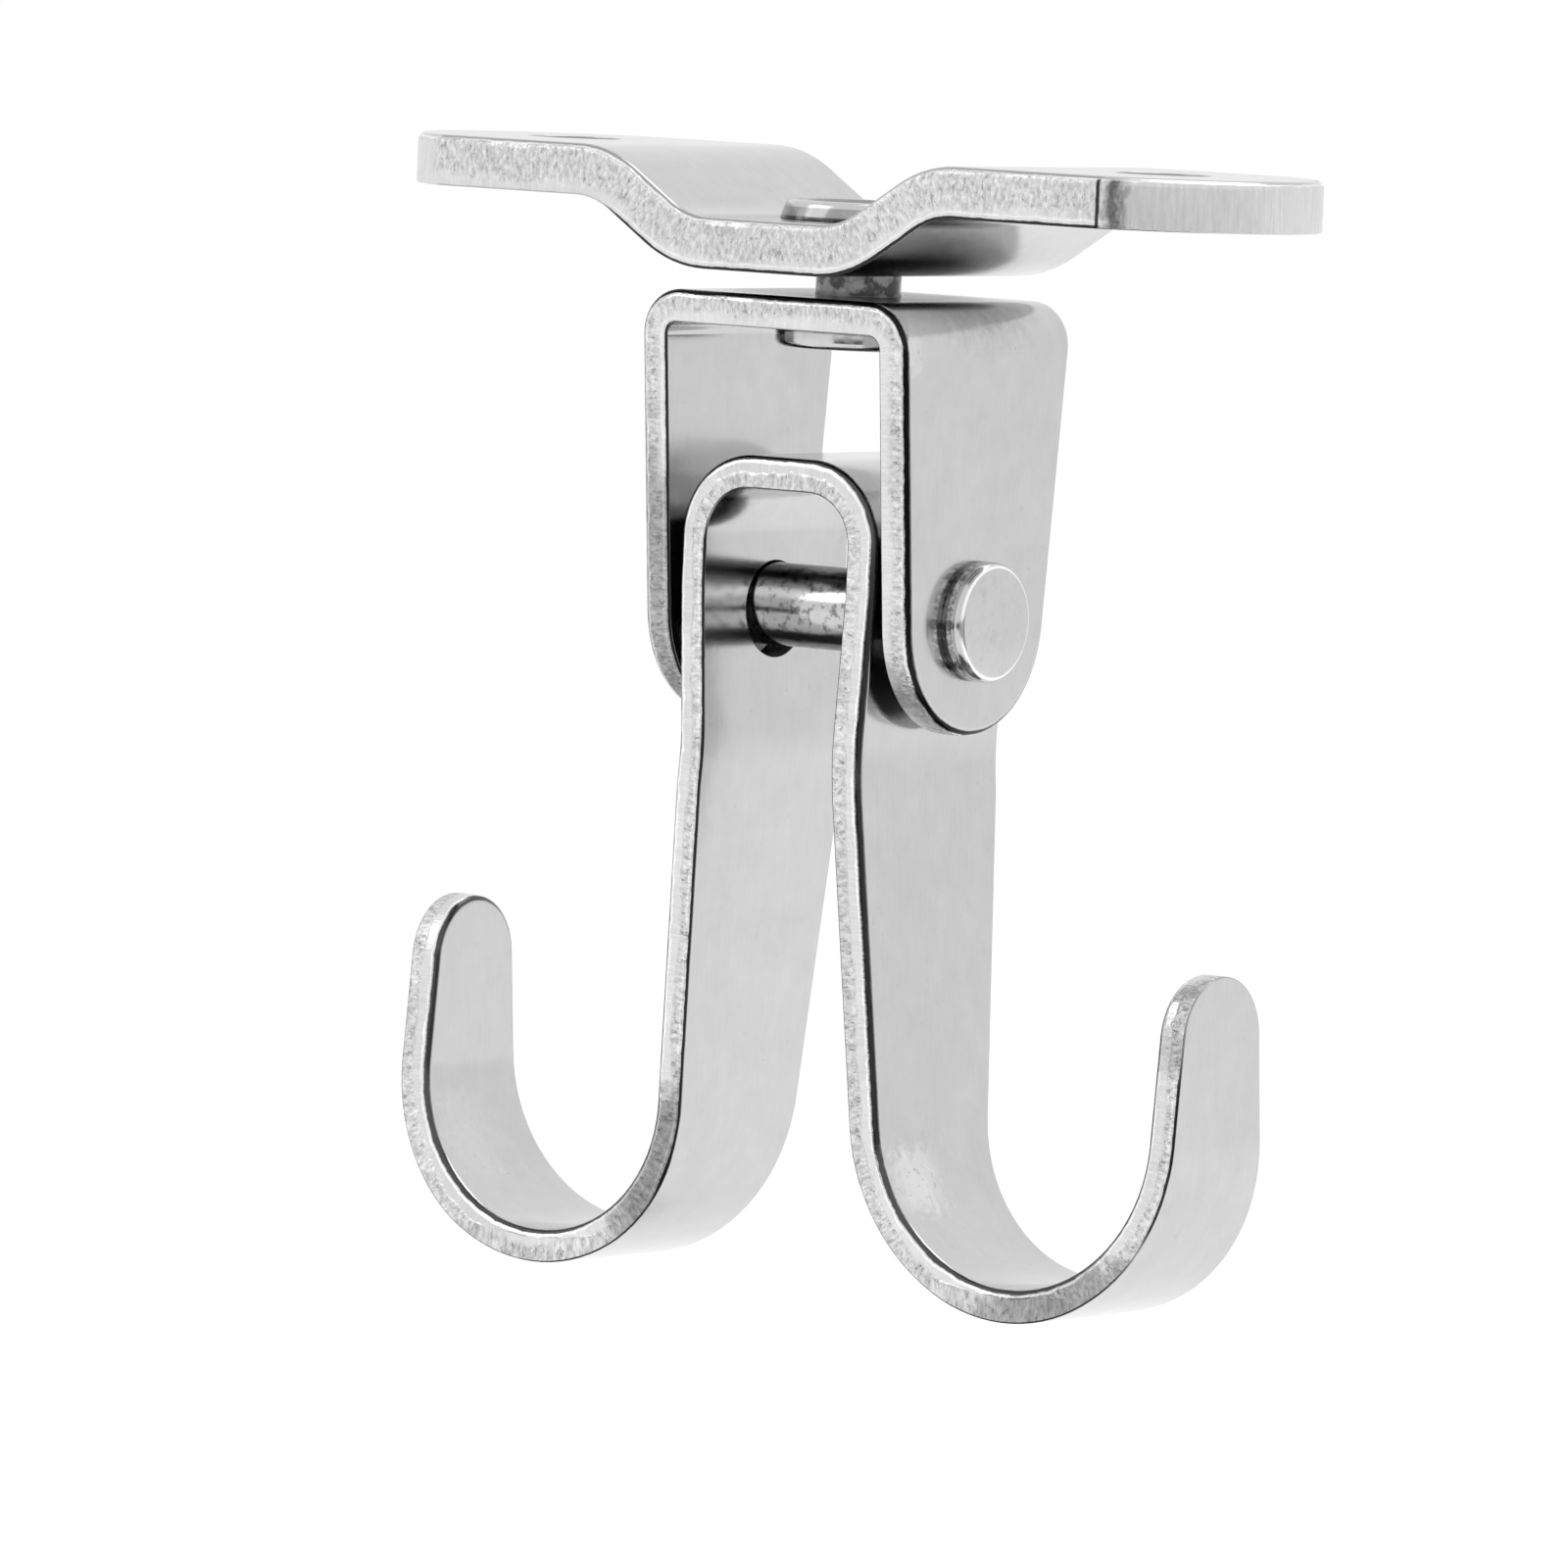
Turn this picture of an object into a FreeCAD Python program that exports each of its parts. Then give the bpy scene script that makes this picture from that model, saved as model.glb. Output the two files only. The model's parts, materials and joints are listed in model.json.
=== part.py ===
"""A double swivel ceiling hook of stainless strip.

A gull-wing ceiling plate carries a bracket on a tubular rivet, so that the bracket swivels.
A double hook, bent from one strip, rides over a pin between the legs of the bracket and swings.

The origin is the middle of the plate's top, in the plane of the ceiling.
X runs along the plate, Y across it and Z up, in millimetres.
"""
import FreeCAD, Part
import math
import os
import Sketcher

# The driving sizes
SIZES = {
    # ceiling plate: a strip with a dropped valley between two flat wings
    "plate_length": 48.5,
    "plate_width": 15.6,
    "plate_thickness": 2.4,
    "plate_end_margin": 0.65,
    "plate_edge_roll": 0.4,
    "valley_drop": 3.05,
    "valley_flat": 6.4,
    "valley_bend": 4.0,
    "shoulder_bend": 6.0,
    "ramp_angle": 33.0,
    "screw_hole": 4.5,
    "screw_spacing": 34.2,
    # swivel rivet: a flat head below, a barrel rolled over above
    "barrel_diameter": 4.0,
    "barrel_bore": 2.5,
    "rivet_head": 7.6,
    "rivet_head_height": 0.9,
    "rivet_rim_round": 0.35,
    "rivet_rim_lean": 0.3,
    "rivet_floor": 1.6,
    "swivel_gap": 1.05,
    "swivel_clearance": 0.05,
    # swivel bracket: an upturned channel whose legs taper to round ends
    "bracket_length": 15.4,
    "bracket_width": 13.3,
    "bracket_thickness": 1.55,
    "bracket_bend": 2.2,
    "leg_end_radius": 5.35,
    "pin_drop": 14.7,
    # pivot pin: a shank with a flat head at each end
    "pin_diameter": 3.9,
    "pin_head": 5.6,
    "pin_head_height": 1.1,
    "pin_head_chamfer": 0.2,
    # double hook: one strip from tip to tip over the pin
    "hook_thickness": 1.55,
    "hook_width": 11.0,
    "hook_side_gap": 0.5,
    "arch_rise": 7.2,
    "arch_bend": 3.9,
    "pin_hole": 4.5,
    "hang_clearance": 0.05,
    "knee_rise": 1.0,
    "waist_drop": 6.4,
    "waist_inset": 0.4,
    "leg_bend": 14.0,
    "hook_depth": 53.0,
    "bowl_radius": 7.3,
    "bowl_reach": 13.75,
    "bowl_width": 8.15,
    "taper_drop": 8.4,
    "tip_rise": 16.6,
    "tip_radius": 3.0,
    # tools that cut past the edge of a strip reach this far beyond it
    "overcut": 2.0,
}

doc = FreeCAD.newDocument("ceiling_hook")
sheet = doc.addObject("Spreadsheet::Sheet", "sizes")
for row, (name, value) in enumerate(SIZES.items(), start=1):
    sheet.set(f"A{row}", name)
    sheet.set(f"B{row}", str(value))
    sheet.setAlias(f"B{row}", name)
doc.recompute()


class Size:
    """A number kept together with the sheet formula that gives it."""

    def __init__(self, value, text):
        self.value = value
        self.text = text

    def __add__(self, other):
        other = as_size(other)
        return Size(self.value + other.value, f"({self.text} + {other.text})")

    def __sub__(self, other):
        other = as_size(other)
        return Size(self.value - other.value, f"({self.text} - {other.text})")

    def __mul__(self, other):
        other = as_size(other)
        return Size(self.value * other.value, f"({self.text} * {other.text})")

    def __truediv__(self, other):
        other = as_size(other)
        return Size(self.value / other.value, f"({self.text} / {other.text})")

    def __neg__(self):
        return Size(-self.value, f"(-1 * {self.text})")


def as_size(number):
    return number if isinstance(number, Size) else Size(number, str(number))


def size(name):
    """One cell of the sheet."""
    return Size(float(sheet.get(name)), f"sizes.{name}")


def tangent_of(angle):
    return Size(math.tan(math.radians(angle.value)), f"tan({angle.text})")


def root(square):
    return Size(math.sqrt(square.value), f"sqrt({square.text})")


ZERO = as_size(0)

# Heights and places that several pieces share
valley_top = -size("valley_drop")
valley_underside = valley_top - size("plate_thickness")
web_top = valley_underside - size("swivel_gap")
web_underside = web_top - size("bracket_thickness")
pin_height = web_top - size("pin_drop")
pin_radius = size("pin_diameter") / 2
barrel_radius = size("barrel_diameter") / 2
running_bore = barrel_radius + size("swivel_clearance")


def new_body(label):
    body = doc.addObject("PartDesign::Body", label)
    body.Label = label
    return body


def origin_feature(body, role):
    return next(feature for feature in body.Origin.OriginFeatures if feature.Role == role)


def new_sketch(body, name, plane, offset=None):
    """A sketch on one of the body's own origin planes, moved off it along its normal."""
    sketch = body.newObject("Sketcher::SketchObject", name)
    sketch.AttachmentSupport = [(origin_feature(body, plane), "")]
    sketch.MapMode = "FlatFace"
    if offset is not None:
        sketch.setExpression(".AttachmentOffset.Base.z", offset.text)
    return sketch


def bind(sketch, constraint, target):
    """Adds a dimension and ties it to the sheet."""
    index = sketch.addConstraint(constraint)
    sketch.setExpression(f"Constraints[{index}]", target.text)


def bind_point(sketch, geometry, point, x, y):
    bind(sketch, Sketcher.Constraint("DistanceX", -1, 1, geometry, point, x.value), x)
    bind(sketch, Sketcher.Constraint("DistanceY", -1, 1, geometry, point, y.value), y)


def vector(x, y):
    return FreeCAD.Vector(x.value, y.value, 0)


def arc_through(centre, start, end, turns_left):
    """A circular arc from start to end, which a sketch always stores anticlockwise."""
    radius = (start - centre).Length
    first, last = (start, end) if turns_left else (end, start)
    angles = [math.atan2(point.y - centre.y, point.x - centre.x) for point in (first, last)]
    return Part.ArcOfCircle(Part.Circle(centre, FreeCAD.Vector(0, 0, 1), radius), *angles)


def draw_bent_line(sketch, corners, closed=False, free_end=False):
    """Straight runs through the corners (x, y, radius), rounded where a radius is given.

    A free end keeps its place from what the caller joins to it. Gives the last line's index.
    """
    count = len(corners)
    spots = [vector(x, y) for x, y, _ in corners]
    arrive = list(spots)
    leave = list(spots)
    centres = [None] * count
    for i, (_, _, radius) in enumerate(corners):
        if radius is None:
            continue
        back = (spots[i - 1] - spots[i]).normalize()
        ahead = (spots[(i + 1) % count] - spots[i]).normalize()
        half = back.getAngle(ahead) / 2
        arrive[i] = spots[i] + back * (radius.value / math.tan(half))
        leave[i] = spots[i] + ahead * (radius.value / math.tan(half))
        centres[i] = spots[i] + (back + ahead).normalize() * (radius.value / math.sin(half))
    runs = count if closed else count - 1
    lines = []
    for i in range(runs):
        line = Part.LineSegment(leave[i], arrive[(i + 1) % count])
        lines.append(sketch.addGeometry(line))
    for i, (x, y, radius) in enumerate(corners):
        starts_here = lines[i] if i < runs else None
        ends_here = lines[i - 1] if i > 0 or closed else None
        if radius is None:
            if starts_here is not None and ends_here is not None:
                sketch.addConstraint(Sketcher.Constraint("Coincident", ends_here, 2, starts_here, 1))
            if starts_here is not None:
                bind_point(sketch, starts_here, 1, x, y)
            elif not free_end:
                bind_point(sketch, ends_here, 2, x, y)
            continue
        turns_left = (arrive[i] - spots[i - 1]).cross(leave[i] - arrive[i]).z > 0
        arc = sketch.addGeometry(arc_through(centres[i], arrive[i], leave[i], turns_left))
        corner = sketch.addGeometry(Part.Point(spots[i]), True)
        arc_start, arc_end = (1, 2) if turns_left else (2, 1)
        sketch.addConstraint(Sketcher.Constraint("Tangent", ends_here, 2, arc, arc_start))
        sketch.addConstraint(Sketcher.Constraint("Tangent", arc, arc_end, starts_here, 1))
        sketch.addConstraint(Sketcher.Constraint("PointOnObject", corner, 1, ends_here))
        sketch.addConstraint(Sketcher.Constraint("PointOnObject", corner, 1, starts_here))
        bind_point(sketch, corner, 1, x, y)
        bind(sketch, Sketcher.Constraint("Radius", arc, radius.value), radius)
    return lines[-1]


def draw_box(sketch, x_half, bottom, top):
    """A rectangle centred on the sketch's upright axis."""
    corners = [(-x_half, bottom), (x_half, bottom), (x_half, top), (-x_half, top)]
    draw_bent_line(sketch, [(x, y, None) for x, y in corners], closed=True)


def draw_circle(sketch, x, y, radius):
    circle = sketch.addGeometry(Part.Circle(vector(x, y), FreeCAD.Vector(0, 0, 1), radius.value))
    bind_point(sketch, circle, 3, x, y)
    bind(sketch, Sketcher.Constraint("Radius", circle, radius.value), radius)


def touch_point(point, centre, radius, side):
    """Where a line from the point touches the circle, on its side +1 or -1."""
    away = point - centre
    swing = math.acos(radius / away.Length) * side
    angle = math.atan2(away.y, away.x) + swing
    return centre + FreeCAD.Vector(math.cos(angle), math.sin(angle), 0) * radius


def draw_tapered_end(sketch, half_width, wide_height, centre_height, radius, cap_height):
    """A closed outline with straight sides that run into a round end.

    The sides start at the wide height and touch the end's arc. The cap closes the outline beyond
    the wide height, outside the strip.
    """
    centre = vector(ZERO, centre_height)
    side = 1 if wide_height.value < centre_height.value else -1
    right_corner = vector(half_width, wide_height)
    left_corner = vector(-half_width, wide_height)
    right_touch = touch_point(right_corner, centre, radius.value, side)
    left_touch = FreeCAD.Vector(-right_touch.x, right_touch.y, 0)
    right_cap = vector(half_width, cap_height)
    left_cap = vector(-half_width, cap_height)
    right_side = sketch.addGeometry(Part.LineSegment(right_corner, right_touch))
    left_side = sketch.addGeometry(Part.LineSegment(left_touch, left_corner))
    arc = sketch.addGeometry(arc_through(centre, right_touch, left_touch, side > 0))
    cap = [
        sketch.addGeometry(Part.LineSegment(left_corner, left_cap)),
        sketch.addGeometry(Part.LineSegment(left_cap, right_cap)),
        sketch.addGeometry(Part.LineSegment(right_cap, right_corner)),
    ]
    arc_start, arc_end = (1, 2) if side > 0 else (2, 1)
    sketch.addConstraint(Sketcher.Constraint("Tangent", right_side, 2, arc, arc_start))
    sketch.addConstraint(Sketcher.Constraint("Tangent", arc, arc_end, left_side, 1))
    sketch.addConstraint(Sketcher.Constraint("Coincident", left_side, 2, cap[0], 1))
    sketch.addConstraint(Sketcher.Constraint("Coincident", cap[0], 2, cap[1], 1))
    sketch.addConstraint(Sketcher.Constraint("Coincident", cap[1], 2, cap[2], 1))
    sketch.addConstraint(Sketcher.Constraint("Coincident", cap[2], 2, right_side, 1))
    bind_point(sketch, arc, 3, ZERO, centre_height)
    bind(sketch, Sketcher.Constraint("Radius", arc, radius.value), radius)
    bind_point(sketch, right_side, 1, half_width, wide_height)
    bind_point(sketch, left_side, 2, -half_width, wide_height)
    bind_point(sketch, cap[1], 1, -half_width, cap_height)
    bind_point(sketch, cap[1], 2, half_width, cap_height)


def add_pad(body, sketch, name, length):
    """A pad that grows equally to both sides of its sketch."""
    pad = body.newObject("PartDesign::Pad", name)
    pad.Profile = sketch
    pad.SideType = "Symmetric"
    pad.setExpression("Length", length.text)
    return pad


def add_pocket(body, sketch, name, both_ways=True, reversed_cut=False):
    """A cut right through, to both sides of its sketch or to one."""
    pocket = body.newObject("PartDesign::Pocket", name)
    pocket.Profile = sketch
    pocket.Type = "ThroughAll"
    pocket.SideType = "Symmetric" if both_ways else "One side"
    pocket.Reversed = reversed_cut
    return pocket


def add_strip(body, path, section, name):
    """A strip swept along its bent middle line."""
    pipe = body.newObject("PartDesign::AdditivePipe", name)
    pipe.Profile = section
    pipe.Spine = path
    return pipe


def add_mirror(body, originals, name):
    """The other half, across the middle plane X = 0."""
    mirror = body.newObject("PartDesign::Mirrored", name)
    mirror.Originals = originals
    mirror.MirrorPlane = (origin_feature(body, "YZ_Plane"), [""])
    body.Tip = mirror
    return mirror


def build_ceiling_plate():
    """A strip bent down into a valley between two wings, each with a screw hole."""
    body = new_body("ceiling_plate")
    thickness = size("plate_thickness")
    width = size("plate_width")
    end_radius = width / 2 + size("plate_end_margin")
    half_length = size("plate_length") / 2

    # The bends are measured on the top face; the path runs in the middle of the strip.
    valley_radius = size("valley_bend") + thickness / 2
    shoulder_radius = size("shoulder_bend") - thickness / 2
    ramp_foot = size("valley_flat") / 2 + valley_radius * tangent_of(size("ramp_angle") / 2)
    ramp_head = ramp_foot + size("valley_drop") / tangent_of(size("ramp_angle"))
    path = new_sketch(body, "plate_path", "XZ_Plane")
    draw_bent_line(path, [
        (ZERO, valley_top - thickness / 2, None),
        (ramp_foot, valley_top - thickness / 2, valley_radius),
        (ramp_head, -(thickness / 2), shoulder_radius),
        (half_length, -(thickness / 2), None),
    ])
    section = new_sketch(body, "plate_section", "YZ_Plane")
    draw_box(section, width / 2, valley_underside, valley_top)
    strip = add_strip(body, path, section, "plate_strip")

    # The end arc is a little wider than the strip, so it meets the sides at a corner.
    arc_centre = half_length - end_radius
    corner = arc_centre + root(end_radius * end_radius - width * width / 4)
    past_side = width / 2 + size("overcut")
    past_end = half_length + size("overcut")
    trim = new_sketch(body, "end_outline", "XY_Plane")
    arc = trim.addGeometry(arc_through(
        vector(arc_centre, ZERO), vector(corner, -(width / 2)), vector(corner, width / 2), True))
    outside = [
        (corner, width / 2),
        (corner, past_side),
        (past_end, past_side),
        (past_end, -past_side),
        (corner, -past_side),
        (corner, -(width / 2)),
    ]
    last = draw_bent_line(trim, [(x, y, None) for x, y in outside], free_end=True)
    trim.addConstraint(Sketcher.Constraint("Coincident", arc, 1, last, 2))
    trim.addConstraint(Sketcher.Constraint("Coincident", arc, 2, arc + 1, 1))
    trim.addConstraint(Sketcher.Constraint("Vertical", last))
    bind_point(trim, arc, 3, arc_centre, ZERO)
    end_cut = add_pocket(body, trim, "end_cut")

    hole = new_sketch(body, "screw_hole", "XY_Plane")
    draw_circle(hole, size("screw_spacing") / 2, ZERO, size("screw_hole") / 2)
    hole_cut = add_pocket(body, hole, "screw_hole_cut")
    add_mirror(body, [strip, end_cut, hole_cut], "plate_other_half")

    bore = new_sketch(body, "rivet_bore", "XY_Plane")
    draw_circle(bore, ZERO, ZERO, barrel_radius)
    bore_cut = add_pocket(body, bore, "rivet_bore_cut")
    doc.recompute()

    # The blanking tool has rolled the rim of the top face, all round the outline.
    roll = body.newObject("PartDesign::Fillet", "rolled_edge")
    roll.Base = (bore_cut, rim_edges(bore_cut.Shape))
    roll.setExpression("Radius", size("plate_edge_roll").text)
    return body


def rim_edges(shape):
    """The edges where the faces that look up meet the upright outside walls."""
    names = []
    for index, edge in enumerate(shape.Edges, start=1):
        closed_circle = edge.isClosed()
        tilts = [middle_normal(face).z for face in shape.ancestorsOfType(edge, Part.Face)]
        meets_wall = len(tilts) == 2 and min(abs(tilt) for tilt in tilts) < 0.1
        if meets_wall and max(tilts) > 0.5 and not closed_circle:
            names.append(f"Edge{index}")
    return names


def middle_normal(face):
    u_low, u_high, v_low, v_high = face.ParameterRange
    return face.normalAt((u_low + u_high) / 2, (v_low + v_high) / 2)


def build_swivel_rivet():
    """The barrel joins a flat head under the bracket to a rolled and dished head on the plate."""
    body = new_body("swivel_rivet")
    head = size("rivet_head") / 2
    height = size("rivet_head_height")
    rim = size("rivet_rim_round")
    bore = size("barrel_bore") / 2
    lower_seat = web_underside - size("swivel_clearance")
    lip = head - size("rivet_rim_lean")
    dish = valley_top + height / 2
    profile = new_sketch(body, "rivet_profile", "XZ_Plane")
    draw_bent_line(profile, [
        (ZERO, lower_seat - height, None),
        (head, lower_seat - height, rim),
        (head, lower_seat, None),
        (barrel_radius, lower_seat, None),
        (barrel_radius, valley_top, None),
        (head, valley_top, None),
        (lip, valley_top + height, rim),
        (lip - rim * 2, valley_top + height, rim),
        (barrel_radius, dish, None),
        (bore, dish, None),
        (bore, lower_seat - height + size("rivet_floor"), None),
        (ZERO, lower_seat - height + size("rivet_floor"), None),
    ], closed=True)
    turn = body.newObject("PartDesign::Revolution", "rivet_turned")
    turn.Profile = profile
    turn.ReferenceAxis = (profile, ["V_Axis"])
    return body


def build_swivel_bracket():
    """An upturned channel: the web turns on the rivet and the legs carry the pin."""
    body = new_body("swivel_bracket")
    half_length = size("bracket_length") / 2
    inside = half_length - size("bracket_thickness")
    outer_bend = size("bracket_bend")
    inner_bend = outer_bend - size("bracket_thickness")
    leg_bottom = pin_height - size("leg_end_radius")
    front = new_sketch(body, "bracket_front", "XZ_Plane")
    draw_bent_line(front, [
        (-half_length, leg_bottom, None),
        (-inside, leg_bottom, None),
        (-inside, web_underside, inner_bend),
        (inside, web_underside, inner_bend),
        (inside, leg_bottom, None),
        (half_length, leg_bottom, None),
        (half_length, web_top, outer_bend),
        (-half_length, web_top, outer_bend),
    ], closed=True)
    add_pad(body, front, "bracket_channel", size("bracket_width"))

    half_width = size("bracket_width") / 2
    overcut = size("overcut")
    side = new_sketch(body, "leg_outline", "YZ_Plane")
    draw_box(side, half_width + overcut, leg_bottom - overcut, web_top + overcut * 2)
    draw_tapered_end(
        side, half_width, web_top, pin_height, size("leg_end_radius"), web_top + overcut)
    add_pocket(body, side, "leg_taper")

    pin_bore = new_sketch(body, "pin_bore", "YZ_Plane")
    draw_circle(pin_bore, ZERO, pin_height, pin_radius)
    add_pocket(body, pin_bore, "pin_bore_cut")

    rivet_bore = new_sketch(body, "rivet_bore", "XY_Plane")
    draw_circle(rivet_bore, ZERO, ZERO, running_bore)
    add_pocket(body, rivet_bore, "rivet_bore_cut")
    return body


def build_pivot_pin():
    """A shank across the bracket, with a flat head seated on the outside of each leg."""
    body = new_body("pivot_pin")
    seat = size("bracket_length") / 2
    end = seat + size("pin_head_height")
    head = size("pin_head") / 2
    chamfer = size("pin_head_chamfer")
    profile = new_sketch(body, "pin_profile", "XZ_Plane")
    draw_bent_line(profile, [
        (-end, ZERO, None),
        (end, ZERO, None),
        (end, head - chamfer, None),
        (end - chamfer, head, None),
        (seat, head, None),
        (seat, pin_radius, None),
        (-seat, pin_radius, None),
        (-seat, head, None),
        (chamfer - end, head, None),
        (-end, head - chamfer, None),
    ], closed=True)
    turn = body.newObject("PartDesign::Revolution", "pin_turned")
    turn.Profile = profile
    turn.ReferenceAxis = (profile, ["H_Axis"])
    body.setExpression(".Placement.Base.z", pin_height.text)
    return body


def build_double_hook():
    """One strip: a bowl on each side, and a narrow waist below an arch over the pin."""
    body = new_body("double_hook")
    thickness = size("hook_thickness")
    middle = thickness / 2
    leg = size("bracket_length") / 2 - size("bracket_thickness") - size("hook_side_gap") - middle
    waist = leg - size("waist_inset")
    arch_top = pin_height + size("arch_rise")
    knee = pin_height + size("knee_rise")
    narrow = pin_height - size("waist_drop")
    bottom = -size("hook_depth")
    reach = size("bowl_reach")
    bowl = size("bowl_radius") + middle
    bowl_centre = bottom + size("bowl_radius") + thickness
    tip = bottom + size("tip_rise")

    path = new_sketch(body, "hook_path", "XZ_Plane")
    centre = vector(reach, bowl_centre)
    touch = touch_point(vector(waist, narrow), centre, bowl.value, 1)
    last = draw_bent_line(path, [
        (ZERO, arch_top - middle, None),
        (leg, arch_top - middle, size("arch_bend") - middle),
        (leg, knee, size("leg_bend")),
        (waist, narrow, size("leg_bend")),
        (as_size(touch.x), as_size(touch.y), None),
    ], free_end=True)
    riser_foot = vector(reach + bowl, bowl_centre)
    arc = path.addGeometry(arc_through(centre, touch, riser_foot, True))
    riser = path.addGeometry(Part.LineSegment(riser_foot, vector(reach + bowl, tip)))
    path.addConstraint(Sketcher.Constraint("Tangent", last, 2, arc, 1))
    path.addConstraint(Sketcher.Constraint("Tangent", arc, 2, riser, 1))
    path.addConstraint(Sketcher.Constraint("Vertical", riser))
    bind_point(path, arc, 3, reach, bowl_centre)
    bind(path, Sketcher.Constraint("Radius", arc, bowl.value), bowl)
    bind(path, Sketcher.Constraint("DistanceY", -1, 1, riser, 2, tip.value), tip)
    section = new_sketch(body, "hook_section", "YZ_Plane")
    draw_box(section, size("hook_width") / 2, arch_top - thickness, arch_top)
    strip = add_strip(body, path, section, "hook_strip")

    # Both cuts start at the middle of the bowl: the riser's goes outwards, the leg's inwards.
    # Their tapers end at the bowl's floor, below which the strip keeps one width.
    overcut = size("overcut")
    past_side = size("hook_width") / 2 + overcut
    bowl_half = size("bowl_width") / 2
    bowl_floor = bottom + thickness
    tip_radius = size("tip_radius")
    riser_side = new_sketch(body, "riser_outline", "YZ_Plane", reach)
    draw_box(riser_side, past_side, bottom - overcut * 2, tip + overcut)
    draw_tapered_end(
        riser_side, bowl_half, bowl_floor, tip - tip_radius, tip_radius, bottom - overcut)
    riser_cut = add_pocket(body, riser_side, "riser_taper", both_ways=False, reversed_cut=True)

    taper_start = pin_height - size("taper_drop")
    leg_side = new_sketch(body, "leg_outline", "YZ_Plane", reach)
    for sign in (1, -1):
        outline = [
            (size("hook_width") / 2 * sign, taper_start),
            (bowl_half * sign, bowl_floor),
            (bowl_half * sign, bottom - overcut),
            (past_side * sign, bottom - overcut),
            (past_side * sign, taper_start),
        ]
        draw_bent_line(leg_side, [(x, y, None) for x, y in outline], closed=True)
    leg_cut = add_pocket(body, leg_side, "leg_taper", both_ways=False)

    # The strip hangs on the pin, so its holes sit a little lower than the pin's axis.
    hole_radius = size("pin_hole") / 2
    hang = hole_radius - pin_radius - size("hang_clearance")
    hole = new_sketch(body, "pin_hole", "YZ_Plane")
    draw_circle(hole, ZERO, pin_height - hang, hole_radius)
    hole_cut = add_pocket(body, hole, "pin_hole_cut")
    add_mirror(body, [strip, riser_cut, leg_cut, hole_cut], "hook_other_half")
    return body


def check_and_write(bodies):
    """Stops on a failed feature or a bad solid, then writes one file for each piece."""
    doc.recompute()
    for thing in doc.Objects:
        if "Invalid" in thing.State or "Error" in thing.State:
            raise RuntimeError(f"{thing.Label} failed: {thing.State}")
    for body in bodies:
        shape = body.Shape
        if shape.isNull() or not shape.isValid() or len(shape.Solids) != 1:
            raise RuntimeError(f"{body.Label} has no single valid solid")
    os.makedirs("parts", exist_ok=True)
    for body in bodies:
        body.Shape.exportStep(f"parts/{body.Label}.step")
        box = body.Shape.BoundBox
        print(body.Label, "volume", round(body.Shape.Volume, 2), "box",
              [round(v, 2) for v in (box.XMin, box.XMax, box.YMin, box.YMax, box.ZMin, box.ZMax)])


check_and_write([
    build_ceiling_plate(),
    build_swivel_rivet(),
    build_swivel_bracket(),
    build_pivot_pin(),
    build_double_hook(),
])
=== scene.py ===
"""Looks of the double swivel ceiling hook: polished strip, sheared edges, soft white studio."""
import json
import math

import bmesh
import bpy
import numpy as np
from mathutils import Matrix, Vector

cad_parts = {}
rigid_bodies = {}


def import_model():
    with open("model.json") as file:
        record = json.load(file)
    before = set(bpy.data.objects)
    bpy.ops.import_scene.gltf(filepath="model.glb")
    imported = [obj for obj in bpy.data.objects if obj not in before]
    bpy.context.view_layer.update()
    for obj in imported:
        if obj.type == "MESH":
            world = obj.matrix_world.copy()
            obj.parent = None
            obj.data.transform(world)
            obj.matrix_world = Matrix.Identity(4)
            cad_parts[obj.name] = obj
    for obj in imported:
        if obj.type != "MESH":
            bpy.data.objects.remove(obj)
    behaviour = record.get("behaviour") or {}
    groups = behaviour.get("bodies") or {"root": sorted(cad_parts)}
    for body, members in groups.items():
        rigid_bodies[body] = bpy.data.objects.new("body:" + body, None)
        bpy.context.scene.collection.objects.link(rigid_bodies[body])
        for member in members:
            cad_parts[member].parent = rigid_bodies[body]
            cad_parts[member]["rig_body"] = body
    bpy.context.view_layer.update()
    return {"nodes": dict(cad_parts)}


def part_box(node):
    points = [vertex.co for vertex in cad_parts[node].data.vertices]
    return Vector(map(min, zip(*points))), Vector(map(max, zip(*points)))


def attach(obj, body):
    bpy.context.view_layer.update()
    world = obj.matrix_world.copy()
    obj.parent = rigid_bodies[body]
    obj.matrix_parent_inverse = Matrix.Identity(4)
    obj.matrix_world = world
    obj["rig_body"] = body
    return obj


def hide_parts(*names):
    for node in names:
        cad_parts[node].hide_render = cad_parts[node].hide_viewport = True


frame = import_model()
MM = 0.001

# Sizes of the bent strips, in millimetres, as in the source
PLATE_LENGTH, PLATE_WIDTH, PLATE_THICKNESS, PLATE_END_MARGIN = 48.5, 15.6, 2.4, 0.65
VALLEY_DROP, VALLEY_FLAT, VALLEY_BEND, SHOULDER_BEND = 3.05, 6.4, 4.0, 6.0
RAMP_ANGLE = math.radians(33)
BRACKET_LENGTH, STRIP, BRACKET_BEND = 15.4, 1.55, 2.2
SWIVEL_GAP, RUNNING_GAP, PIN_DROP = 1.05, 0.05, 14.7
WEB_TOP = -(VALLEY_DROP + PLATE_THICKNESS + SWIVEL_GAP)
PIN_HEIGHT = WEB_TOP - PIN_DROP
ARCH_RISE, ARCH_BEND, SIDE_GAP = 7.2, 3.9, 0.5
KNEE_RISE, WAIST_DROP, WAIST_INSET, LEG_BEND = 1.0, 6.4, 0.4, 14.0
HOOK_DEPTH, BOWL_RADIUS, BOWL_REACH, TIP_RISE = 53.0, 7.3, 13.75, 16.6

# Edge rounding: the blanking tool rolls one face's rim widely and leaves the other nearly sharp
STRIP_ROLL = 0.40
SHARP_RIM = 0.07
SHARP_ANGLE = math.radians(50)

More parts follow.
